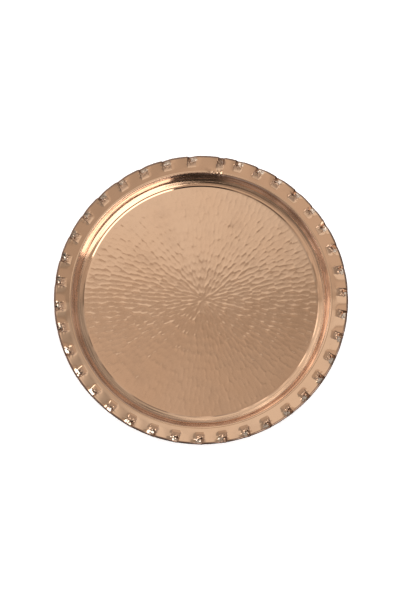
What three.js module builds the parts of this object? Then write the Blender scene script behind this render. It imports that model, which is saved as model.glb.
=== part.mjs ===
// A round hammered copper tray with a crimped rim, lying flat on its floor.
// It is two pieces: the pan, raised from one copper sheet, and the wire that the pan's edge is
// rolled round. Millimetres, +Z up, origin on the tray's axis at the underside of the floor.
import * as THREE from "three";

// Overall sizes
const overallRadius = 150; // to the outside of the rolled edge
const dishDepth = 13.1; // rise of the sheet from the floor to the rolled edge
const sheet = 0.7; // copper sheet thickness

// Floor and wall, each measured on the middle of the sheet
const floorRadius = 120; // the hammered flat floor
const stepRun = 1.2; // the small step round the floor
const stepRise = 0.7;
const ledgeWidth = 2; // the narrow ledge outside the step
const ledgeSlope = THREE.MathUtils.degToRad(4);
const filletRadius = 5.5; // hollow curve at the foot of the wall
const wallSlope = THREE.MathUtils.degToRad(60);
const shoulderRadius = 2.6; // round turn from the wall to the flange
const flangeSlope = THREE.MathUtils.degToRad(4.5);

// Wired edge
const wireRadius = 0.6;
const wireClearance = 0.15; // between the wire and the sheet rolled round it
const curlEnd = THREE.MathUtils.degToRad(-170); // where the sheet's cut edge stops, under the flange

// Crimps. Each is a shallow pocket that starts at a crease across the flange, then a V-shaped valley.
const crimpCount = 38;
const pocketRun = 4; // from the crease out to the point where the valley starts
const pocketDrop = 0.38; // how far the pocket has sunk there
const valleyRun = 5.4; // from there out to the rolled edge
const valleyDrop = 2.85; // how much further the valley sinks on the way
const crimpHalfWidth = 0.2; // half the width of a crimp, as a share of the pitch
const firstCrimp = THREE.MathUtils.degToRad(7); // clockwise from +Y
const crimpCrowding = THREE.MathUtils.degToRad(6.2); // how far the hand-struck crimps run ahead of an even pitch
const crowdingShape = 0.6;

// Fineness of the facets
const columnsPerCrimp = 4;
const wireSides = 6;
const curlSteps = 7;
const filletSteps = 3;
const shoulderSteps = 2;

// Worked-out sizes
const curlRadius = wireRadius + wireClearance + sheet / 2; // middle of the sheet round the wire
const edgeRadius = curlRadius + sheet / 2; // outside of the rolled edge, from the wire's middle
const wireRing = overallRadius - edgeRadius; // radius of the ring that the wire makes
const valleyEnd = wireRing - edgeRadius; // from here out the rolled edge moves as one
const valleyStart = valleyEnd - valleyRun;
const crease = valleyStart - pocketRun;

// Points along an arc about a centre, the first one left out.
function arcPoints(x, y, radius, from, to, steps) {
  const arc = new THREE.ArcCurve(x, y, radius, from, to, to < from);
  return arc.getPoints(steps).slice(1);
}

// The middle line of the sheet from the axis to its cut edge, with its direction at each point.
// x is the distance from the axis and y the height.
function sheetLine() {
  const line = [new THREE.Vector2(0, sheet / 2), new THREE.Vector2(floorRadius, sheet / 2)];
  const ledgeStart = new THREE.Vector2(floorRadius + stepRun, sheet / 2 + stepRise);
  const ledgeStop = new THREE.Vector2(ledgeWidth, 0).rotateAround(new THREE.Vector2(), ledgeSlope);
  ledgeStop.add(ledgeStart);
  line.push(ledgeStart, ledgeStop);

  const filletX = ledgeStop.x - filletRadius * Math.sin(ledgeSlope);
  const filletY = ledgeStop.y + filletRadius * Math.cos(ledgeSlope);
  const down = -Math.PI / 2;
  line.push(...arcPoints(filletX, filletY, filletRadius, down + ledgeSlope, down + wallSlope, filletSteps));

  // The wall is as long as the dish's depth asks for, once the shoulder and flange have risen too.
  const foot = line.at(-1);
  const shoulderRun = shoulderRadius * (Math.sin(wallSlope) - Math.sin(flangeSlope));
  const shoulderRise = shoulderRadius * (Math.cos(flangeSlope) - Math.cos(wallSlope));
  const flangeEndX = wireRing - curlRadius * Math.sin(flangeSlope);
  const flangeEndY = sheet / 2 + dishDepth;
  const flangeRise = (flangeEndX - foot.x - shoulderRun) * Math.tan(flangeSlope);
  const wallLength =
    (flangeEndY - foot.y - shoulderRise - flangeRise) /
    (Math.sin(wallSlope) - Math.cos(wallSlope) * Math.tan(flangeSlope));
  const top = new THREE.Vector2(wallLength, 0).rotateAround(new THREE.Vector2(), wallSlope).add(foot);
  line.push(top);

  const up = Math.PI / 2;
  const shoulderX = top.x + shoulderRadius * Math.sin(wallSlope);
  const shoulderY = top.y - shoulderRadius * Math.cos(wallSlope);
  const turn = arcPoints(shoulderX, shoulderY, shoulderRadius, up + wallSlope, up + flangeSlope, shoulderSteps);
  line.push(...turn);

  // The flange has a point wherever the crimps change along their length.
  for (const x of [crease, valleyStart, valleyEnd]) {
    line.push(new THREE.Vector2(x, flangeEndY - (flangeEndX - x) * Math.tan(flangeSlope)));
  }
  line.push(new THREE.Vector2(flangeEndX, flangeEndY));
  line.push(...arcPoints(wireRing, wireHeight(), curlRadius, up + flangeSlope, curlEnd, curlSteps));
  return line;
}

function wireHeight() {
  return sheet / 2 + dishDepth - curlRadius * Math.cos(flangeSlope);
}

// The sheet line moved sideways by a distance, each corner along its mitre. Left is the upper face.
function offsetLine(line, distance) {
  return line.map((point, i) => {
    const before = line[Math.max(i - 1, 0)];
    const after = line[Math.min(i + 1, line.length - 1)];
    const into = (i > 0 ? point.clone().sub(before) : after.clone().sub(point)).normalize();
    const out = (i < line.length - 1 ? after.clone().sub(point) : into.clone()).normalize();
    const normal = new THREE.Vector2(-into.y - out.y, into.x + out.x).normalize();
    const mitre = distance / (normal.x * -into.y + normal.y * into.x);
    return point.clone().addScaledVector(normal, mitre);
  });
}

// Where a place counted in crimps lies round the rim, as an angle clockwise from +Y.
// Crimps struck by hand crowd together at the start and spread out again before they meet.
function crimpAngle(place) {
  const share = place / crimpCount;
  const crowding = crimpCrowding * Math.sin(Math.PI * share) ** crowdingShape;
  return firstCrimp + 2 * Math.PI * share - (share > 0 && share < 1 ? crowding : 0);
}

// Turns evenly spaced lathe columns to the places where a crimp needs them: its middle,
// its two sides and the middle of the plain stretch after it.
function columnPlace(column) {
  const crimp = Math.floor(column / columnsPerCrimp);
  const places = [0, crimpHalfWidth, 0.5, 1 - crimpHalfWidth];
  return crimp + places[column % columnsPerCrimp];
}

// How far the sheet drops at a distance from the axis and a place counted in crimps.
function crimpDrop(radius, place) {
  const pocket = pocketDrop * THREE.MathUtils.clamp((radius - crease) / pocketRun, 0, 1);
  const valley = valleyDrop * THREE.MathUtils.clamp((radius - valleyStart) / valleyRun, 0, 1);
  const aside = Math.abs(place - Math.round(place)) / crimpHalfWidth;
  return (pocket + valley) * Math.max(0, 1 - aside);
}

// Splits each four-cornered face that touches the start of a valley through that corner, so that
// the folds of the crimp run straight out of it.
function foldThroughValleyStarts(geometry, outline) {
  const index = geometry.getIndex();
  const startsValley = (corner) => {
    const column = Math.floor(corner / outline.length);
    const { x: radius } = outline[corner % outline.length];
    return column % columnsPerCrimp === 0 && Math.abs(radius - valleyStart) < sheet;
  };
  for (let face = 0; face < index.count; face += 6) {
    const [a, b, d, c] = [0, 1, 2, 3].map((corner) => index.getX(face + corner));
    if (startsValley(a) || startsValley(c)) {
      [a, b, c, a, c, d].forEach((corner, i) => index.setX(face + i, corner));
    }
  }
}

// A closed outline spun round the axis, then pressed into the crimps.
function crimpedRing(outline) {
  const columns = crimpCount * columnsPerCrimp;
  const geometry = new THREE.LatheGeometry(outline, columns);
  geometry.rotateX(Math.PI / 2);
  const position = geometry.getAttribute("position");
  for (let i = 0; i < position.count; i++) {
    const column = Math.floor(i / outline.length);
    const { x: radius, y: height } = outline[i % outline.length];
    const place = column < columns ? columnPlace(column) : crimpCount;
    const angle = crimpAngle(place);
    const z = height - crimpDrop(radius, place);
    position.setXYZ(i, radius * Math.sin(angle), radius * Math.cos(angle), z);
  }
  foldThroughValleyStarts(geometry, outline);
  geometry.computeVertexNormals();
  return geometry;
}

function panGeometry() {
  const line = sheetLine();
  const upper = offsetLine(line, sheet / 2);
  const lower = offsetLine(line, -sheet / 2);
  return crimpedRing([...upper, ...lower.reverse()]);
}

function wireGeometry() {
  const section = [];
  for (let side = 0; side <= wireSides; side++) {
    const angle = (-2 * Math.PI * (side % wireSides)) / wireSides;
    const x = wireRing + wireRadius * Math.cos(angle);
    section.push(new THREE.Vector2(x, wireHeight() + wireRadius * Math.sin(angle)));
  }
  return crimpedRing(section);
}

const copper = new THREE.MeshStandardMaterial({ color: 0xb87350, roughness: 0.22, metalness: 1 });
const iron = new THREE.MeshStandardMaterial({ color: 0x6a6663, roughness: 0.5, metalness: 1 });

function part(name, geometry, material) {
  const mesh = new THREE.Mesh(geometry, material);
  mesh.name = name;
  return mesh;
}

const tray = new THREE.Group();
tray.add(part("copper_pan", panGeometry(), copper));
tray.add(part("edge_wire", wireGeometry(), iron));

export default tray;
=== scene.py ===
"""A round hammered copper tray with a crimped rim, lying on a pale floor.

The tray is two pieces: the pan, raised from one sheet of copper, and the iron wire that its edge is rolled
round. Metres, +Z up. The tray's axis is Z and its underside is at zero. Angles round the tray run clockwise
from +Y, and a place on the rim is also counted in crimps, so that whole numbers are the middles of crimps.
"""
import math

import bpy
import numpy as np
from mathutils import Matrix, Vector


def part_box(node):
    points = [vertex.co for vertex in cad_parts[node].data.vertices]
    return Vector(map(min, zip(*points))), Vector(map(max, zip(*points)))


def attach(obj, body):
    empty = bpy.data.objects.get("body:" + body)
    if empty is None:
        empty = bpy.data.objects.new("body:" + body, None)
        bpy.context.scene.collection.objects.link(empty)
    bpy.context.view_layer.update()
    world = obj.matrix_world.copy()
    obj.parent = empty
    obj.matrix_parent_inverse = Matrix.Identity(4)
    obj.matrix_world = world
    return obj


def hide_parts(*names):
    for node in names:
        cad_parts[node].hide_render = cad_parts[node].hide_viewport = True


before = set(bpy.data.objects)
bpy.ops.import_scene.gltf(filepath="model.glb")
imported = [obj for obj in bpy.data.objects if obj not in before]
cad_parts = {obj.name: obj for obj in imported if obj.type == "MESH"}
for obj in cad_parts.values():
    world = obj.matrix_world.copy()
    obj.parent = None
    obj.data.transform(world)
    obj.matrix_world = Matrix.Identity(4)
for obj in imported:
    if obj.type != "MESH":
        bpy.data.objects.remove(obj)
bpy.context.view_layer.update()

MM = 0.001

# The tray's overall sizes come from the frame.
PAN_LOW, PAN_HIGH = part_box("copper_pan")
RIM_TOP = PAN_HIGH.z
RIM_RADIUS = round((PAN_HIGH.x - PAN_LOW.x) / 2, 3)

# The sheet, from the axis outwards. Heights and distances are of the middle of the sheet.
SHEET = 0.7 * MM
FLOOR_RADIUS = 120 * MM
STEP_RUN = 1.2 * MM
STEP_RISE = 0.7 * MM
LEDGE_WIDTH = 1.8 * MM
LEDGE_SLOPE = math.radians(7)
FILLET_RADIUS = 7.5 * MM
WALL_SLOPE = math.radians(63)
SHOULDER_RADIUS = 2.2 * MM
FLANGE_SLOPE = math.radians(4.5)
WIRE_RADIUS = 0.6 * MM
WIRE_CLEARANCE = 0.15 * MM
CURL_END = math.radians(-170)
CURL_RADIUS = WIRE_RADIUS + WIRE_CLEARANCE + SHEET / 2
WIRE_RING = RIM_RADIUS - CURL_RADIUS - SHEET / 2
WIRE_HEIGHT = RIM_TOP - SHEET / 2 - CURL_RADIUS

# Crimps: a pocket struck down from a crease across the flange, and a V-shaped valley pinched into it.
CRIMPS = 38
FIRST_CRIMP = math.radians(7)
CROWDING = math.radians(6.2)
CROWDING_SHAPE = 0.6
POCKET_RUN = 4 * MM
VALLEY_RUN = 5.4 * MM
VALLEY_END = WIRE_RING - CURL_RADIUS - SHEET / 2
VALLEY_START = VALLEY_END - VALLEY_RUN
CREASE = VALLEY_START - POCKET_RUN
POCKET_DROP = 0.38 * MM  # how far a pocket has sunk where the valley starts
POCKET_SLOPE = POCKET_DROP / POCKET_RUN
POCKET_BOTTOM = 0.18  # of the pitch, half the width of a pocket's bottom at its crease
POCKET_MOUTH = 0.212  # and half the width of its mouth there
BOTTOM_CLOSING = 0.04  # how much of the pitch the bottom closes in, out to the rolled edge
MOUTH_CLOSING = 0.045  # and the mouth
VALLEY_DEPTH = 3.1 * MM
VALLEY_DELAY = 1.0 * MM  # how far the valleys start beyond VALLEY_START, on average
VALLEY_FALL = 0.6  # share of a valley's run in which its fold reaches the full depth
VALLEY_CURVE = 1.25  # power of the curve that the fold sinks along
PULL_IN = 0.12 * MM  # how far the rolled edge is drawn in at the middle of a valley
PULL_WIDTH = 0.18  # of the pitch, how far to each side it is felt
CRUMPLE = 0.13 * MM  # height of the puckers beside a fold
CRUMPLE_FADE = 1.5 * MM  # how far before and beyond VALLEY_START they grow to that height
VALLEY_NEAR = 0.15  # of the pitch, how far a valley reaches anticlockwise at the rolled edge
VALLEY_FAR = 0.21  # and clockwise, where its facet is the broad one
VALLEY_SKEW = 0.085  # of the pitch, how far the fold lies to the anticlockwise side of the valley
PANEL_CROWN = 0.22 * MM  # bulge of the plain sheet between two crimps

# Hammer marks on the floor, struck in rings round the middle.
MARK_LENGTH = 8.3 * MM  # along the radius
MARK_WIDTH = 3.2 * MM  # round the tray, for a mark near the middle
MARK_WIDENING = 0.018  # how much wider a mark is for each unit of its distance from the middle
MARK_RIDGE = 0.0098 * MM  # height of the ridge where two marks meet side by side
MARK_FIRST = 0.45  # the innermost ring of marks, in mark lengths from the middle
MARK_SCATTER = 0.28  # of a mark's length, how far it may be struck too far in or out
MARK_SWING = 0.2  # of the spacing, how far it may be struck too far round
MARK_UNEVEN = 0.06  # how much deeper or shallower it may be, as a change of q (see mark_rise)
MARK_FADE = 1.5 * MM  # the marks die out over this distance, before the floor's edge
MARK_SINK = 0.3  # of a ridge's height, how far the marks' bottoms lie below the sheet's face
STRUCK_CENTRE = (3.4 * MM, 1.2 * MM)  # the marks run round a point a little off the tray's axis

RANDOM = np.random.default_rng(38)


def wobble(angle, size, waves, seed):
    """A slow uneven drift round the tray: a sum of sines of 2 up to waves turns, in random phases."""
    draw = np.random.default_rng(seed)
    turns = np.arange(2, waves + 1)
    phases = draw.uniform(0, 2 * math.pi, turns.size)
    shares = draw.uniform(0.4, 1, turns.size) / np.sqrt(turns)
    drift = np.sin(np.multiply.outer(angle, turns) + phases) @ shares
    return size * drift / np.sqrt((shares**2).sum())


# ---------------------------------------------------------------------------------------------
# The sheet's profile


def arc(centre, radius, start, stop, steps):
    """Points on a circle about centre, from angle start to angle stop, the first one left out."""
    turn = np.linspace(start, stop, steps + 1)[1:]
    return np.column_stack([centre[0] + radius * np.cos(turn), centre[1] + radius * np.sin(turn)])


def line_to(start, stop, steps):
    """Points on the straight line from start to stop, the first one left out."""
    share = np.linspace(0, 1, steps + 1)[1:, None]
    return np.asarray(start) * (1 - share) + np.asarray(stop) * share


def sheet_line(steps):
    """The middle of the sheet from the edge of the floor to the cut edge inside the roll.

    Straight lines joined by arcs: the step, the ledge, the hollow fillet, the wall, the shoulder, the
    flange and the roll round the wire. steps gives how finely each stretch is divided.
    """
    floor_edge = np.array([FLOOR_RADIUS, SHEET / 2])
    ledge_start = floor_edge + [STEP_RUN, STEP_RISE]
    ledge_stop = ledge_start + LEDGE_WIDTH * np.array([math.cos(LEDGE_SLOPE), math.sin(LEDGE_SLOPE)])
    fillet = ledge_stop + FILLET_RADIUS * np.array([-math.sin(LEDGE_SLOPE), math.cos(LEDGE_SLOPE)])
    down = -math.pi / 2
    fillet_arc = arc(fillet, FILLET_RADIUS, down + LEDGE_SLOPE, down + WALL_SLOPE, steps["fillet"])
    foot = fillet_arc[-1]

    wire = np.array([WIRE_RING, WIRE_HEIGHT])
    flange_stop = wire + CURL_RADIUS * np.array([-math.sin(FLANGE_SLOPE), math.cos(FLANGE_SLOPE)])
    up = math.pi / 2
    turn_run = SHOULDER_RADIUS * (math.sin(WALL_SLOPE) - math.sin(FLANGE_SLOPE))
    turn_rise = SHOULDER_RADIUS * (math.cos(FLANGE_SLOPE) - math.cos(WALL_SLOPE))
    flange_rise = (flange_stop[0] - foot[0] - turn_run) * math.tan(FLANGE_SLOPE)
    wall_length = (flange_stop[1] - foot[1] - turn_rise - flange_rise) / (
        math.sin(WALL_SLOPE) - math.cos(WALL_SLOPE) * math.tan(FLANGE_SLOPE)
    )
    top = foot + wall_length * np.array([math.cos(WALL_SLOPE), math.sin(WALL_SLOPE)])
    shoulder = top + SHOULDER_RADIUS * np.array([math.sin(WALL_SLOPE), -math.cos(WALL_SLOPE)])
    shoulder_arc = arc(shoulder, SHOULDER_RADIUS, up + WALL_SLOPE, up + FLANGE_SLOPE, steps["shoulder"])

    def on_flange(radius):
        return np.array([radius, flange_stop[1] - (flange_stop[0] - radius) * math.tan(FLANGE_SLOPE)])

    return np.vstack([
        floor_edge[None],
        line_to(floor_edge, ledge_start, steps["step"]),
        line_to(ledge_start, ledge_stop, steps["ledge"]),
        fillet_arc,
        line_to(foot, top, steps["wall"]),
        shoulder_arc,
        line_to(shoulder_arc[-1], on_flange(CREASE), steps["flange"]),
        line_to(on_flange(CREASE), on_flange(VALLEY_START), steps["pocket"]),
        line_to(on_flange(VALLEY_START), on_flange(VALLEY_END), steps["valley"]),
        line_to(on_flange(VALLEY_END), flange_stop, 1),
        arc(wire, CURL_RADIUS, up + FLANGE_SLOPE, CURL_END, steps["curl"]),
    ])


def offset(line, distance):
    """The line moved to its left by distance, each corner along its mitre."""
    leg = np.diff(line, axis=0)
    leg /= np.linalg.norm(leg, axis=1)[:, None]
    into = np.vstack([leg[:1], leg])
    out = np.vstack([leg, leg[-1:]])
    normal = np.column_stack([-(into + out)[:, 1], (into + out)[:, 0]])
    normal /= np.linalg.norm(normal, axis=1)[:, None]
    cosine = normal[:, 1] * into[:, 0] - normal[:, 0] * into[:, 1]
    return line + normal * (distance / cosine)[:, None]


# ---------------------------------------------------------------------------------------------
# Crimps and hammer marks


def crimp_angle(place):
    """The angle of a place counted in crimps: an even pitch, less a crowding of sin(pi share) ** shape."""
    share = place / CRIMPS
    crowding = CROWDING * np.abs(np.sin(np.pi * share)) ** CROWDING_SHAPE
    return FIRST_CRIMP + 2 * np.pi * share - crowding


# Each crimp's own valley depth, shift round the rim, valley start, lean, and skew of its fold. All but the
# start are shares, of VALLEY_DEPTH or of the pitch.
CRIMP_DEPTH = RANDOM.uniform(0.82, 1.1, CRIMPS)
CRIMP_SHIFT = RANDOM.uniform(-0.03, 0.03, CRIMPS)
CRIMP_START = RANDOM.uniform(-0.6, 0.6, CRIMPS) * MM
CRIMP_LEAN = RANDOM.uniform(-0.03, 0.03, CRIMPS)
CRIMP_SKEW = RANDOM.uniform(-0.015, 0.015, CRIMPS) - VALLEY_SKEW

# The crimp where the maker closed the ring is a plain deep pocket, struck to one side of its place.
CRIMP_POCKET = RANDOM.uniform(0.8, 1.25, CRIMPS)
CRIMP_SHIFT[0] = 0.16
CRIMP_DEPTH[0] = 0.3
CRIMP_POCKET[0] = 2.4


def crimp_drop(radius, place):
    """How far the sheet is struck down at a radius and a place counted in crimps.

    The pocket falls away at a steady slope from its crease, between two short sides that close in
    outwards. The valley is two facets that meet on a fold. The fold sinks as 1 - (1 - t) ** VALLEY_CURVE,
    where t runs from 0 at its start to 1 after VALLEY_FALL of its run, and lies to one side of the valley's
    middle. The deeper of the two counts. The plain sheet between two crimps bulges up by PANEL_CROWN times
    (share of the way out to the rolled edge) ** 0.7 times (share of the way from the pocket's mouth to
    half a pitch away) ** 0.6. Beyond VALLEY_END the rolled edge moves as one.
    """
    crimp = np.round(place).astype(int) % CRIMPS
    out = np.clip(radius, None, VALLEY_END)
    along = np.clip((out - CREASE) / (VALLEY_END - CREASE), 0, 1)
    sideways = place - np.round(place) - CRIMP_SHIFT[crimp] - CRIMP_LEAN[crimp] * along
    aside = np.abs(sideways)

    side_in, side_out = pocket_sides(along)
    side = np.clip((side_out - aside) / (side_out - side_in), 0, 1)
    pocket = CRIMP_POCKET[crimp] * POCKET_SLOPE * np.clip(out - CREASE, 0, None) * side

    start = VALLEY_START + VALLEY_DELAY + CRIMP_START[crimp]
    share = np.clip((out - start) / (VALLEY_END - start), 0, 1)
    depth = VALLEY_DEPTH * CRIMP_DEPTH[crimp]
    sunk = depth * (1 - np.clip(1 - share / VALLEY_FALL, 0, 1) ** VALLEY_CURVE)
    skew = CRIMP_SKEW[crimp]
    facet = np.where(
        sideways > skew,
        (VALLEY_FAR - sideways) / (VALLEY_FAR - skew),
        (VALLEY_NEAR + sideways) / (VALLEY_NEAR + skew),
    )
    valley = sunk - depth * (1 - facet)
    crown = PANEL_CROWN * along**0.7 * np.clip((aside - side_out) / (0.5 - side_out), 0, 1) ** 0.6
    return np.maximum(np.maximum(pocket, valley), 0) + crumple(out, place, aside) - crown


def pocket_sides(along):
    """Half widths, as shares of the pitch, of a pocket's bottom and of its mouth. Both close in outwards."""
    return POCKET_BOTTOM - BOTTOM_CLOSING * along, POCKET_MOUTH - MOUTH_CLOSING * along


def crumple(radius, place, aside):
    """Small puckers in the pinched metal of a valley: a sum of three crossed sines, each about 2.7 mm long.

    They are full height within 0.07 of the pitch from the crimp's middle and gone 0.24 of it away, and they
    grow from nothing CRUMPLE_FADE before VALLEY_START to full height as far beyond it.
    """
    across = place * 2 * math.pi * WIRE_RING / CRIMPS
    waves = (
        np.sin(across / (0.42 * MM) + 1.3 * np.sin(place * 2.1))
        + np.sin((across + radius) / (0.61 * MM) + 3.1 * np.round(place))
        + np.sin((radius - 0.6 * across) / (0.5 * MM) + 1.7 * np.round(place))
    )
    near_fold = np.clip(1.4 - aside / 0.17, 0, 1)
    near_edge = np.clip((radius - VALLEY_START + CRUMPLE_FADE) / (2 * CRUMPLE_FADE), 0, 1)
    return CRUMPLE * waves * near_fold * near_edge


def mark_seeds():
    """The middles of the hammer marks: rings a mark's length apart, each a row of marks a width apart."""
    rings = []
    ring_radii = np.arange(MARK_FIRST * MARK_LENGTH, FLOOR_RADIUS + 2 * MARK_LENGTH, MARK_LENGTH)
    for ring_radius in ring_radii:
        width = MARK_WIDTH + MARK_WIDENING * ring_radius
        count = max(5, round(2 * math.pi * ring_radius / width))
        start = RANDOM.uniform(0, 1)
        angle = (np.arange(count) + start + RANDOM.uniform(-MARK_SWING, MARK_SWING, count)) / count
        radius = ring_radius + RANDOM.uniform(-MARK_SCATTER, MARK_SCATTER, count) * MARK_LENGTH
        strength = RANDOM.uniform(-MARK_UNEVEN, MARK_UNEVEN, count)
        rings.append((count, width, angle * 2 * math.pi, radius, strength))
    return rings


MARKS = mark_seeds()


def mark_rise(x, y):
    """Height of the hammered floor over the bottoms of its marks.

    Each mark is a bowl. With q = (distance round the tray in mark widths) ** 2 + (distance along the
    radius in mark lengths) ** 2, both from its middle, plus the mark's own unevenness, it rises as
    (4 q) ** 2. The lowest q counts at each point, so neighbouring marks meet in a ridge. Radius and angle
    are about the struck centre.
    """
    x, y = x - STRUCK_CENTRE[0], y - STRUCK_CENTRE[1]
    radius, angle = np.hypot(x, y), np.arctan2(x, y)
    lowest = np.full(radius.shape, np.inf)
    nearest = np.clip(np.round(radius / MARK_LENGTH - MARK_FIRST).astype(int), 0, len(MARKS) - 1)
    for ring_step in (-1, 0, 1):
        ring = np.clip(nearest + ring_step, 0, len(MARKS) - 1)
        for number in np.unique(ring):
            here = ring == number
            count, width, mark_angle, mark_radius, strength = MARKS[number]
            first = np.floor((angle[here] - mark_angle[0]) / (2 * math.pi) * count).astype(int)
            for mark_step in (-1, 0, 1, 2):
                mark = (first + mark_step) % count
                round_by = np.remainder(angle[here] - mark_angle[mark] + math.pi, 2 * math.pi) - math.pi
                across = round_by * radius[here] / width
                along = (radius[here] - mark_radius[mark]) / MARK_LENGTH
                lowest[here] = np.minimum(lowest[here], across**2 + along**2 + strength[mark])
    return MARK_RIDGE * (4 * np.clip(lowest, 0, None)) ** 2


# ---------------------------------------------------------------------------------------------
# Meshes made of rings


FOLD_REACH = 0.1  # of the pitch, how far from a crimp's middle the columns lean with its fold
FOLD_FOLLOW = 0.8  # how closely the middle column follows the fold


def crimp_columns(radius, counts):
    """Places in crimps of a ring's points, so that they lie on the folds of every crimp.

    counts gives how many steps lie on one side of a crimp across the fold's reach, the rest of the pocket's
    bottom, the pocket's side and the plain sheet beyond. Each crimp's columns are moved with its own shift
    and lean, and those next to its middle lean over towards its fold.
    """
    along = np.clip((min(radius, VALLEY_END) - CREASE) / (VALLEY_END - CREASE), 0, 1)
    inside, mouth = pocket_sides(along)
    edges = [0, FOLD_REACH, inside, mouth, 0.5]
    half = np.concatenate([
        np.linspace(edges[i], edges[i + 1], count, endpoint=False) for i, count in enumerate(counts)
    ])
    whole = np.concatenate([half, [0.5], 1 - half[:0:-1]])
    shift = CRIMP_SHIFT + CRIMP_LEAN * along
    place = (np.arange(CRIMPS)[:, None] + whole).ravel()
    near = np.clip(1 - 2 * (place % 1), 0, 1)
    next_near = np.clip(2 * (place % 1) - 1, 0, 1)
    close = np.clip(1 - np.abs(place - np.round(place)) / FOLD_REACH, 0, 1)
    fold = close * CRIMP_SKEW[np.round(place).astype(int) % CRIMPS]
    here = np.floor(place).astype(int) % CRIMPS
    return place + near * shift[here] + next_near * shift[(here + 1) % CRIMPS] + FOLD_FOLLOW * fold


def band(first, second):
    """Triangles between two rings of points, given as (first index, angles), the second further along.

    Both rings are walked round together, and each step to the next point of either makes a triangle with
    the point reached on the other. The order of the steps is the order of the middles of the gaps.
    """
    (start_a, angle_a), (start_b, angle_b) = first, second

    def middles(angle):
        return (angle + np.append(angle[1:], angle[0] + 2 * math.pi)) / 2

    steps = np.concatenate([middles(angle_a), middles(angle_b)])
    order = np.argsort(steps, kind="stable")
    on_a = order < angle_a.size
    a = np.cumsum(on_a) - on_a
    b = np.cumsum(~on_a) - ~on_a
    here_a, next_a = start_a + a % angle_a.size, start_a + (a + 1) % angle_a.size
    here_b, next_b = start_b + b % angle_b.size, start_b + (b + 1) % angle_b.size
    return np.where(
        on_a[:, None],
        np.column_stack([here_a, next_a, here_b]),
        np.column_stack([here_a, next_b, here_b]),
    )


def fan(pole, ring, faces_up):
    """Triangles from a single point to a ring given as (first index, angles)."""
    start, angle = ring
    middle = np.full(angle.size, pole)
    here = start + np.arange(angle.size)
    after = start + (np.arange(angle.size) + 1) % angle.size
    return np.column_stack([middle, after, here] if faces_up else [middle, here, after])


SHARP_FOLD = math.radians(17)


def mesh_object(name, points, triangles, material):
    """A smooth-shaded mesh object with creases only where the sheet is folded sharply."""
    mesh = bpy.data.meshes.new(name)
    mesh.from_pydata(points.tolist(), [], triangles.tolist())
    mesh.materials.append(material)
    mesh.shade_smooth()
    mesh.set_sharp_from_angle(angle=SHARP_FOLD)
    piece = bpy.data.objects.new(name, mesh)
    bpy.context.scene.collection.objects.link(piece)
    return piece


def around(radius, height, angle):
    """Points at a radius and height, clockwise from +Y by an angle."""
    return np.column_stack([radius * np.sin(angle), radius * np.cos(angle), height])


# ---------------------------------------------------------------------------------------------
# The pan

UPPER_STEPS = {"step": 4, "ledge": 3, "fillet": 8, "wall": 7, "shoulder": 6, "flange": 3,
               "pocket": 4, "valley": 9, "curl": 16}
LOWER_STEPS = {"step": 2, "ledge": 1, "fillet": 4, "wall": 3, "shoulder": 4, "flange": 2,
               "pocket": 2, "valley": 4, "curl": 9}
UPPER_CRIMP = (3, 3, 2, 3)
LOWER_CRIMP = (2, 1, 1, 2)
MESH_ACROSS = 0.7 * MM  # spacing of the floor's points round a ring
MESH_ALONG = 1.5 * MM  # spacing of the floor's rings
UPPER_COLUMNS = 380  # points round a ring of the wall, on the upper face
LOWER_COLUMNS = 190  # and on the lower face
UNDERSIDE_RINGS = 12
UNDERSIDE_ACROSS = 5 * MM
WIRE_SIDES = 10
PLAIN_RUN = 4 * MM  # how far inside the crease the columns begin to follow the crimps

# Hand-made drift: how far the wall and the edge wander in and out, and the rim up and down
WALL_DRIFT = 0.16 * MM
EDGE_DRIFT = 0.12 * MM
RIM_WARP = 0.22 * MM
RIM_RIPPLE = 0.07 * MM

# The puckered knot at the shoulder behind the closing crimp
KNOT_LUMPS = 7
KNOT_START = FIRST_CRIMP - 0.045
KNOT_RADIUS = 133 * MM
KNOT_PITCH = 1.9 * MM
KNOT_SWAY = 1.1 * MM
KNOT_WIDTH = 1.2 * MM
KNOT_HEIGHT = 0.65 * MM
KNOT_BEFORE = 0.01  # shares of a turn, anticlockwise and clockwise of the closing crimp, with closer columns
KNOT_AFTER = 0.016


def knot(radius, angle):
    """Lift of the sheet at the shoulder behind the closing crimp: a short row of dents and lumps by turns.

    Each is a bell curve, exp(-(distance / KNOT_WIDTH) ** 2 / 2). They are KNOT_PITCH apart along the shoulder
    and up to KNOT_SWAY in or out of line.
    """
    number = np.arange(KNOT_LUMPS)[:, None]
    round_by = radius * (angle - KNOT_START) - number * KNOT_PITCH
    in_by = radius - KNOT_RADIUS - KNOT_SWAY * np.cos(2.4 * number)
    bells = np.exp(-(round_by**2 + in_by**2) / (2 * KNOT_WIDTH**2))
    return KNOT_HEIGHT * (bells * np.where(number % 2, 1, -1)).sum(axis=0)


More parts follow.
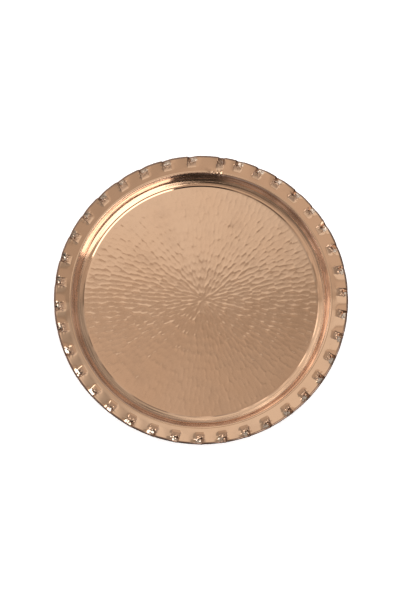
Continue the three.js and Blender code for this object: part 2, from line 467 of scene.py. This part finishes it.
def rim_points(line, angle, place):
    """One ring of the rim: the profile point spun round, less the crimps, with a hand-made drift.

    The wall's drift in and out follows a half sine from the floor's edge to the rim. The edge's own grows
    as the fourth power of the distance from the floor's edge, and the rise and fall as its square. At a
    crimp the edge is drawn in by PULL_IN times exp(-(distance from its middle / PULL_WIDTH) ** 2).
    """
    radius, height = line
    outward = np.clip((radius - FLOOR_RADIUS) / (RIM_RADIUS - FLOOR_RADIUS), 0, 1)
    on_wall = math.sin(math.pi * outward) if outward > 0 else 0
    in_and_out = wobble(angle, WALL_DRIFT, 9, 5) * on_wall + wobble(angle, EDGE_DRIFT, 14, 6) * outward**4
    aside = place - np.round(place) - CRIMP_SHIFT[np.round(place).astype(int) % CRIMPS]
    drawn = np.clip((radius - CREASE) / (VALLEY_END - CREASE), 0, 1) * np.exp(-((aside / PULL_WIDTH) ** 2))
    spread = radius + in_and_out - PULL_IN * drawn
    lift = (wobble(angle, RIM_WARP, 11, 7) + wobble(angle, RIM_RIPPLE, 70, 8)) * outward**2
    near_closing = np.remainder(angle - FIRST_CRIMP + math.pi, 2 * math.pi) - math.pi + FIRST_CRIMP
    lift += knot(radius, near_closing)
    return around(spread, height + lift - crimp_drop(radius, place), angle)


def floor_points(radius, angle, side):
    """One ring of the floor: hammered on its upper side, flat beneath."""
    fade = min(1, (FLOOR_RADIUS - radius) / MARK_FADE)
    rise = mark_rise(radius * np.sin(angle), radius * np.cos(angle)) * fade
    height = SHEET - MARK_SINK * MARK_RIDGE + rise if side == "upper" else np.zeros(angle.shape)
    return around(np.full(angle.shape, radius), height, angle)


def rim_rings(line, counts, wall_columns):
    """The rings of one face of the rim, inside to outside: crimped ones follow the folds of the crimps."""
    rings = []
    for point in line:
        if point[0] > CREASE - PLAIN_RUN:
            place = crimp_columns(point[0], counts)
            angle = crimp_angle(place)
        else:
            even = np.arange(wall_columns) / wall_columns
            after = np.linspace(0, KNOT_AFTER, 14)
            before = np.linspace(1 - KNOT_BEFORE, 1, 10, endpoint=False)
            turns = np.unique(np.round(np.concatenate([even, after, before]), 5))
            angle = FIRST_CRIMP + 2 * math.pi * turns
            place = np.full(angle.size, 0.5)
        rings.append((rim_points(point, angle, place), angle))
    return rings


def copper_pan(material):
    """The whole sheet as one closed skin.

    Its rings run from the middle of the floor out along the upper face, round the rolled edge, back along
    the lower face and in to the middle of the underside.
    """
    rings = []
    for radius in np.arange(MESH_ALONG, FLOOR_RADIUS - 0.3 * MESH_ALONG, MESH_ALONG):
        count = max(7, round(2 * math.pi * radius / MESH_ACROSS))
        angle = FIRST_CRIMP + np.arange(count) * 2 * math.pi / count
        rings.append((floor_points(radius, angle, "upper"), angle))
    rings += rim_rings(offset(sheet_line(UPPER_STEPS), SHEET / 2), UPPER_CRIMP, UPPER_COLUMNS)
    rings += rim_rings(offset(sheet_line(LOWER_STEPS), -SHEET / 2), LOWER_CRIMP, LOWER_COLUMNS)[::-1]
    for radius in np.linspace(FLOOR_RADIUS, 0, UNDERSIDE_RINGS, endpoint=False)[1:]:
        count = max(12, round(2 * math.pi * radius / UNDERSIDE_ACROSS))
        angle = FIRST_CRIMP + np.arange(count) * 2 * math.pi / count
        rings.append((floor_points(radius, angle, "lower"), angle))

    starts = np.cumsum([1] + [points.shape[0] for points, _ in rings])
    links = [(start, angle) for start, (_, angle) in zip(starts, rings)]
    poles = np.array([[0, 0, SHEET], [0, 0, 0]])
    points = np.vstack([poles[:1], *[points for points, _ in rings], poles[1:]])
    triangles = [fan(0, links[0], True)]
    triangles += [band(first, second) for first, second in zip(links, links[1:])]
    triangles.append(fan(starts[-1], links[-1], False))
    pan = mesh_object("hammered_pan", points, np.vstack(triangles), material)
    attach(pan, "root")
    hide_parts("copper_pan")


def edge_wire(material):
    """A round wire carried along the ring inside the rolled edge, down into every crimp and up again.

    Each of its sides is a ring of points WIRE_RADIUS from the wire's middle, and neighbouring rings are
    joined all the way round, so the wire closes on itself and its faces point outwards.
    """
    place = crimp_columns(WIRE_RING, LOWER_CRIMP)
    angle = crimp_angle(place)
    centre = rim_points((WIRE_RING, WIRE_HEIGHT), angle, place)
    turn = (np.arange(WIRE_SIDES) * 2 * math.pi / WIRE_SIDES)[:, None]
    across = WIRE_RADIUS * np.cos(turn)
    points = np.stack([
        centre[:, 0] + across * np.sin(angle),
        centre[:, 1] + across * np.cos(angle),
        centre[:, 2] + WIRE_RADIUS * np.sin(turn),
    ], axis=-1)
    count = angle.size
    ring, column = np.meshgrid(np.arange(WIRE_SIDES), np.arange(count), indexing="ij")
    next_ring = (ring + 1) % WIRE_SIDES
    next_column = (column + 1) % count
    a = ring * count + column
    b = ring * count + next_column
    c = next_ring * count + next_column
    d = next_ring * count + column
    triangles = np.stack([a, c, b, a, d, c], axis=-1).reshape(-1, 3)
    wire = mesh_object("rolled_in_wire", points.reshape(-1, 3), triangles, material)
    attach(wire, "root")
    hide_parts("edge_wire")


# ---------------------------------------------------------------------------------------------
# Materials


class Recipe:
    """A material being built from nodes."""

    def __init__(self, name):
        self.material = bpy.data.materials.new(name)
        self.material.use_nodes = True
        self.tree = self.material.node_tree
        self.shader = self.tree.nodes["Principled BSDF"]
        self.coordinates = self.tree.nodes.new("ShaderNodeTexCoord")
        self.place = self.coordinates.outputs["Object"]

    def node(self, kind, inputs=None, **settings):
        made = self.tree.nodes.new("ShaderNode" + kind)
        for name, value in settings.items():
            setattr(made, name, value)
        for name, value in (inputs or {}).items():
            self.feed(made.inputs[name], value)
        return made

    def feed(self, socket, value):
        if isinstance(value, bpy.types.NodeSocket):
            self.tree.links.new(value, socket)
        else:
            socket.default_value = value

    def math(self, operation, *values):
        made = self.tree.nodes.new("ShaderNodeMath")
        made.operation = operation
        for socket, value in zip(made.inputs, values):
            self.feed(socket, value)
        return made.outputs[0]

    def noise(self, scale, detail=3.0, roughness=0.55, place=None):
        return self.node("TexNoise", {
            "Vector": place or self.place, "Scale": scale, "Detail": detail, "Roughness": roughness,
        }).outputs["Fac"]

    def spread(self, value, low, high, to_low, to_high):
        return self.node("MapRange", {
            "Value": value, "From Min": low, "From Max": high, "To Min": to_low, "To Max": to_high,
        }).outputs["Result"]

    def within(self, value, bounds):
        """1 between the middle two of four rising bounds, and 0 beyond the outer two."""
        rise = self.spread(value, bounds[0], bounds[1], 0.0, 1.0)
        return self.math("MULTIPLY", rise, self.spread(value, bounds[2], bounds[3], 1.0, 0.0))

    def blend(self, factor, first, second):
        made = self.tree.nodes.new("ShaderNodeMix")
        made.data_type = "RGBA"
        self.feed(made.inputs["Factor"], factor)
        self.feed(made.inputs["A"], first)
        self.feed(made.inputs["B"], second)
        return made.outputs["Result"]


# Distances from the axis at which a finish begins and ends
WALL_FINISH = (122.5 * MM, 124.5 * MM, 132.5 * MM, 134 * MM)
STEEP_FINISH = (127.8 * MM, 128.4 * MM, 131.5 * MM, 131.9 * MM)
FLANGE_FINISH = (137.5 * MM, 138 * MM)
FACET_FINISH = (143 * MM, 144.2 * MM)
EDGE_FINISH = (147.8 * MM, 148.4 * MM)
FLANGE_ENDS = (134 * MM, 148 * MM)  # the plain flange, inside to outside
FLANGE_HEIGHTS = (12.7 * MM, 13.8 * MM)  # and its upper face's height at those two
# middle of a round darker patch laid on the copper at the closing crimp
DARK_PATCH_PLACE = (22.2 * MM, 142.5 * MM, 12 * MM)  # in the pocket of the closing crimp

# Colours of the copper
BUFFED = (0.94, 0.605, 0.39, 1)
BUFFED_DEEPER = (0.92, 0.575, 0.36, 1)
STEEP_PINK = (0.95, 0.8, 0.72, 1)
# colour of the painted highlight on the side of each crimp that faces anticlockwise
PAINTED_HIGHLIGHT_COLOUR = (0.98, 0.79, 0.62, 1)
# colour of tarnish, also used as painted shade in the pockets, on the folds and on the clockwise side of each
# crimp
TARNISH_AND_SHADE_COLOUR = (0.31, 0.195, 0.14, 1)
DULL_BENEATH = (0.62, 0.34, 0.22, 1)
DARK_BENEATH = (0.38, 0.2, 0.14, 1)


def polished_copper():
    """Copper, buffed bright above and left dull beneath.

    The floor is the brightest. The steep part of the wall is paler and pinker, and the wall keeps fine rings
    from turning. Tarnish gathers on the rolled edge and in small clouds. The pockets and the steep faces of
    the folds are darkened as tarnish and as painted shade, the side of each crimp that faces clockwise is
    darkened as painted shade, and a darker patch lies at the closing crimp. The broad side of each crimp,
    which faces anticlockwise, is lightened with a painted highlight. leeward is how far a face looks round
    the tray.
    """
    make = Recipe("polished_copper")
    axes = make.node("SeparateXYZ", {"Vector": make.place})
    x, y, height = axes.outputs["X"], axes.outputs["Y"], axes.outputs["Z"]
    radius = make.math("SQRT", make.math("ADD", make.math("MULTIPLY", x, x), make.math("MULTIPLY", y, y)))
    normal = make.node("SeparateXYZ", {"Vector": make.coordinates.outputs["Normal"]})
    facing = normal.outputs["Z"]
    leeward = make.math("DIVIDE", make.math(
        "SUBTRACT",
        make.math("MULTIPLY", normal.outputs["X"], y),
        make.math("MULTIPLY", normal.outputs["Y"], x),
    ), radius)
    beneath = make.spread(facing, 0.05, -0.15, 0.0, 1.0)
    on_wall = make.within(radius, WALL_FINISH)
    steep = make.within(radius, STEEP_FINISH)
    on_edge = make.spread(radius, *EDGE_FINISH, 0.0, 1.0)
    on_flange = make.spread(radius, *FLANGE_FINISH, 0.0, 1.0)
    outermost = make.spread(radius, *FACET_FINISH, 0.0, 1.0)
    sunk = make.math("SUBTRACT", make.spread(radius, *FLANGE_ENDS, *FLANGE_HEIGHTS), height)
    # tarnish and painted shade in the pockets, by how far the sheet is sunk below the flange
    pockets_tarnish_and_shade = make.math("MULTIPLY", make.spread(sunk, 0.15 * MM, 0.35 * MM, 0.0, 0.48), on_flange)
    # tarnish and painted shade on the steep faces of the folds in the flange
    folds_tarnish_and_shade = make.math("MULTIPLY", make.spread(facing, 0.88, 0.7, 0.0, 0.8), on_flange)
    # painted shade on the side of each crimp that faces clockwise
    clockwise_painted_shade = make.math("MULTIPLY", make.spread(leeward, 0.1, 0.3, 0.0, 0.93), on_flange)
    folds_tarnish_and_shade = make.math("MAXIMUM", folds_tarnish_and_shade, clockwise_painted_shade)

    cloud = make.noise(14.0, 4.0)
    stain = make.spread(make.noise(40.0, 5.0, 0.6), 0.5, 0.74, 0.0, 0.13)
    turning = make.noise(1.0, 2.0, place=make.node("CombineXYZ", {
        "X": make.math("MULTIPLY", radius, 900.0), "Y": make.math("MULTIPLY", x, 6.0),
        "Z": make.math("MULTIPLY", y, 6.0),
    }).outputs["Vector"])
    rings = make.math("MULTIPLY", make.spread(turning, 0.5, 0.6, 0.0, 0.5), on_wall)
    # painted highlight on the side of each crimp that faces anticlockwise, which also lifts the pockets'
    # painted shade there
    painted_highlight = make.math("MULTIPLY", make.spread(leeward, -0.16, -0.26, 0.0, 1.0), outermost)
    pockets_tarnish_and_shade = make.math("MULTIPLY", pockets_tarnish_and_shade, make.math("SUBTRACT", 1.0, painted_highlight))
    # tarnish together with painted shade: stains, folds, pockets, the rolled edge, wall rings and the darker
    # patch
    tarnish_and_shade = make.math("MAXIMUM", stain, make.math("MAXIMUM", folds_tarnish_and_shade, pockets_tarnish_and_shade))
    tarnish_and_shade = make.math("MAXIMUM", tarnish_and_shade, make.math("MAXIMUM", on_edge, rings))
    # a round darker patch at the closing crimp
    from_dark_patch = make.node("VectorMath", {0: make.place, 1: DARK_PATCH_PLACE}, operation="DISTANCE")
    dark_patch = make.spread(from_dark_patch.outputs["Value"], 2.5 * MM, 4.5 * MM, 0.75, 0.0)
    tarnish_and_shade = make.math("MAXIMUM", tarnish_and_shade, dark_patch)
    warm = make.blend(make.spread(cloud, 0.35, 0.65, 0.0, 1.0), BUFFED, BUFFED_DEEPER)
    warm = make.blend(steep, warm, STEEP_PINK)
    # lays the painted highlight over the copper
    warm = make.blend(painted_highlight, warm, PAINTED_HIGHLIGHT_COLOUR)
    # lays tarnish and painted shade over the copper
    colour = make.blend(tarnish_and_shade, warm, TARNISH_AND_SHADE_COLOUR)
    blotches = make.spread(make.noise(26.0, 6.0, 0.65), 0.4, 0.65, 0.0, 1.0)
    dull = make.blend(blotches, DULL_BENEATH, DARK_BENEATH)
    make.feed(make.shader.inputs["Base Color"], make.blend(beneath, colour, dull))
    make.feed(make.shader.inputs["Metallic"], 1.0)

    smear = make.spread(make.noise(90.0, 6.0, 0.7), 0.3, 0.7, 0.045, 0.085)
    rough = make.math("ADD", smear, make.math("MULTIPLY", tarnish_and_shade, 0.22))
    rough = make.math("ADD", rough, make.math("MULTIPLY", beneath, 0.3))
    make.feed(make.shader.inputs["Roughness"], rough)

    grooves = make.math("MULTIPLY", turning, on_wall)
    relief = make.math("ADD", grooves, make.math("MULTIPLY", make.noise(900.0, 2.0), 0.006))
    bump = make.node("Bump", {"Height": relief, "Strength": 1.0, "Distance": 0.5 * MM})
    make.feed(make.shader.inputs["Normal"], bump.outputs["Normal"])
    return make.material


def iron_wire():
    """Drawn iron wire, grey and slightly dulled."""
    make = Recipe("drawn_iron")
    rust = make.spread(make.noise(300.0, 5.0, 0.65), 0.5, 0.75, 0.0, 1.0)
    make.feed(make.shader.inputs["Base Color"], make.blend(rust, (0.36, 0.35, 0.34, 1), (0.2, 0.12, 0.08, 1)))
    make.feed(make.shader.inputs["Metallic"], 1.0)
    make.feed(make.shader.inputs["Roughness"], make.spread(rust, 0.0, 1.0, 0.35, 0.7))
    scale = make.node("Bump", {"Height": make.noise(2000.0), "Strength": 0.2, "Distance": 0.1 * MM})
    make.feed(make.shader.inputs["Normal"], scale.outputs["Normal"])
    return make.material


# ---------------------------------------------------------------------------------------------
# Floor, light and camera


def pale_floor():
    """A plain pale board under the tray that sweeps up into a wall all round, far off.

    The board is flat out to 3 m. Beyond that it is carried up along a quarter circle of 1.5 m and on to
    4 m above the floor. It glows a little, the copper doesn't mirror it, and it casts no shade.
    """
    flat, sweep, top = 3.0, 1.5, 4.0
    gap = 0.2 * MM  # between the board and the tray's underside
    turn = np.linspace(0, math.pi / 2, 13)
    radius = np.concatenate([[0.25, 0.6, 1.2, 2.0], flat + sweep * np.sin(turn), [flat + sweep]])
    height = np.concatenate([np.zeros(4), sweep - sweep * np.cos(turn), [top]]) - gap
    count = 96
    angle = np.arange(count) * 2 * math.pi / count
    circles = [around(r, np.full(count, h), angle) for r, h in zip(radius, height)]
    points = np.vstack([[[0, 0, -gap]], *circles])
    rings = [(1 + i * count, angle) for i in range(radius.size)]
    triangles = [fan(0, rings[0], True)] + [band(first, second) for first, second in zip(rings, rings[1:])]
    make = Recipe("pale_board")
    make.feed(make.shader.inputs["Base Color"], (0.9, 0.9, 0.9, 1))
    make.feed(make.shader.inputs["Roughness"], 0.9)
    make.feed(make.shader.inputs["Emission Color"], (1, 1, 1, 1))
    make.feed(make.shader.inputs["Emission Strength"], 0.55)
    board = mesh_object("pale_board", points, np.vstack(triangles), make.material)
    board.visible_glossy = False
    board.visible_shadow = False


def room_light():
    """The room as the polished copper mirrors it, by the direction looked in from the tray.

    Well above the horizon is a ceiling: bright from a little beyond straight up, where it starts at a clear
    edge, and dimmer overhead and nearer. Below that are surroundings that brighten ahead, with a glow to the
    left ahead, and a dark gap runs up straight behind. All of it from the horizon up to nearly overhead is
    broken into soft patches. What lies below the horizon is plain and brightens towards the left ahead.
    """
    world = bpy.data.worlds.new("room")
    bpy.context.scene.world = world
    world.use_nodes = True
    tree = world.node_tree
    nodes, links = tree.nodes, tree.links
    background = nodes["Background"]
    direction = nodes.new("ShaderNodeTexCoord").outputs["Generated"]
    split = nodes.new("ShaderNodeSeparateXYZ")
    links.new(direction, split.inputs[0])

    def ramp(value, low, high, to_low, to_high):
        made = nodes.new("ShaderNodeMapRange")
        made.interpolation_type = "SMOOTHSTEP"
        links.new(value, made.inputs["Value"])
        for name, number in (("From Min", low), ("From Max", high), ("To Min", to_low), ("To Max", to_high)):
            if isinstance(number, bpy.types.NodeSocket):
                links.new(number, made.inputs[name])
            else:
                made.inputs[name].default_value = number
        return made.outputs["Result"]

    def mix(factor, first, second):
        made = nodes.new("ShaderNodeMix")
        made.data_type = "RGBA"
        links.new(factor, made.inputs["Factor"])
        for name, colour in (("A", first), ("B", second)):
            if isinstance(colour, bpy.types.NodeSocket):
                links.new(colour, made.inputs[name])
            else:
                made.inputs[name].default_value = (*colour, 1)
        return made.outputs["Result"]

    def math_node(operation, *values):
        made = nodes.new("ShaderNodeMath")
        made.operation = operation
        for socket, value in zip(made.inputs, values):
            if isinstance(value, bpy.types.NodeSocket):
                links.new(value, socket)
            else:
                socket.default_value = value
        return made.outputs[0]

    right, ahead, height = split.outputs["X"], split.outputs["Y"], split.outputs["Z"]
    ceiling_edge = (0.193, 0.21)
    bright = ramp(right, -0.02, 0.15, 0.74, 0.34)
    overhead = ramp(right, -0.06, 0.06, 0.405, 0.285)
    nearer = ramp(ahead, 0.165, 0.195, 0.13, 0)
    dim = math_node("MULTIPLY", math_node("ADD", overhead, nearer), ramp(ahead, -0.4, 0.0, 0.45, 1))
    ceiling = ramp(ahead, *ceiling_edge, dim, bright)
    low = math_node("ADD", ramp(ahead, -1, 1, 0.22, 0.48), ramp(right, -1, 1, 0.04, -0.08))
    level = ramp(height, 0.35, 0.7, low, ceiling)
    gap = ramp(math_node("ABSOLUTE", right), 0.12, 0.34, 0.8, 0)
    behind = math_node("MULTIPLY", ramp(ahead, -0.3, -0.6, 0, 1), gap)
    level = math_node("MULTIPLY", level, math_node("SUBTRACT", 1, behind))
    left_ahead = math_node("SUBTRACT", ahead, right)
    glow = math_node("MULTIPLY", ramp(left_ahead, 0.9, 1.15, 0, 0.42), ramp(height, 0.3, 0.42, 0, 1))
    level = math_node("ADD", level, math_node("MULTIPLY", glow, ramp(height, 0.86, 0.78, 0, 1)))
    clutter = nodes.new("ShaderNodeTexNoise")
    clutter.inputs["Scale"].default_value = 7
    links.new(direction, clutter.inputs["Vector"])
    patchy = ramp(clutter.outputs["Fac"], 0.4, 0.6, 0.6, 1.4)
    level = math_node("MULTIPLY", level, ramp(height, 0.8, 0.9, patchy, 1))
    level = ramp(height, -0.06, 0.02, ramp(left_ahead, -0.4, 0.8, 0.1, 1.1), level)
    warm = mix(ramp(ahead, *ceiling_edge, 0, 1), (1.07, 0.99, 0.93), (1, 1, 1))
    tinted = mix(ramp(height, 0.2, 0.7, 0, 1), (1.03, 0.99, 1.0), warm)
    links.new(tinted, background.inputs["Color"])
    links.new(level, background.inputs["Strength"])


def area_light(name, place, target, width, height, power, mirrored):
    """A soft flat lamp at place that faces target. Either it is mirrored, or it only lights dull surfaces."""
    data = bpy.data.lights.new(name, "AREA")
    data.shape = "RECTANGLE"
    data.size, data.size_y = width, height
    data.energy = power
    lamp = bpy.data.objects.new(name, data)
    lamp.location = place
    lamp.rotation_euler = (Vector(target) - Vector(place)).to_track_quat("-Z", "Y").to_euler()
    lamp.visible_camera = False
    lamp.visible_glossy = mirrored
    lamp.visible_diffuse = not mirrored
    bpy.context.scene.collection.objects.link(lamp)


def camera():
    """Looks down on the tray from a little nearer than straight above."""
    distance = 2.4
    lean = math.radians(11.2)
    data = bpy.data.cameras.new("camera")
    data.lens = 140.8
    data.sensor_width = 36
    eye = bpy.data.objects.new("camera", data)
    centre = Vector((-0.0005, -0.0013, 0.008))
    eye.location = centre + distance * Vector((0, -math.sin(lean), math.cos(lean)))
    eye.rotation_euler = (lean, 0, 0)
    bpy.context.scene.collection.objects.link(eye)
    bpy.context.scene.camera = eye


camera()
bpy.context.scene.view_settings.view_transform = "Standard"
room_light()
WINDOW_TURN = math.radians(130)
WINDOW_AWAY = 0.8
WINDOW_MIDDLE = 2.45  # height of its middle above the floor
window = (WINDOW_AWAY * math.sin(WINDOW_TURN), WINDOW_AWAY * math.cos(WINDOW_TURN), WINDOW_MIDDLE)
area_light("tall_window", window, (0, 0, WINDOW_MIDDLE), 1.0, 4.2, 30, True)
area_light("soft_box", (0.35, 1.0, 1.4), (0, 0, 0), 1.2, 1.2, 9, False)
pale_floor()
copper = polished_copper()
copper_pan(copper)
edge_wire(iron_wire())
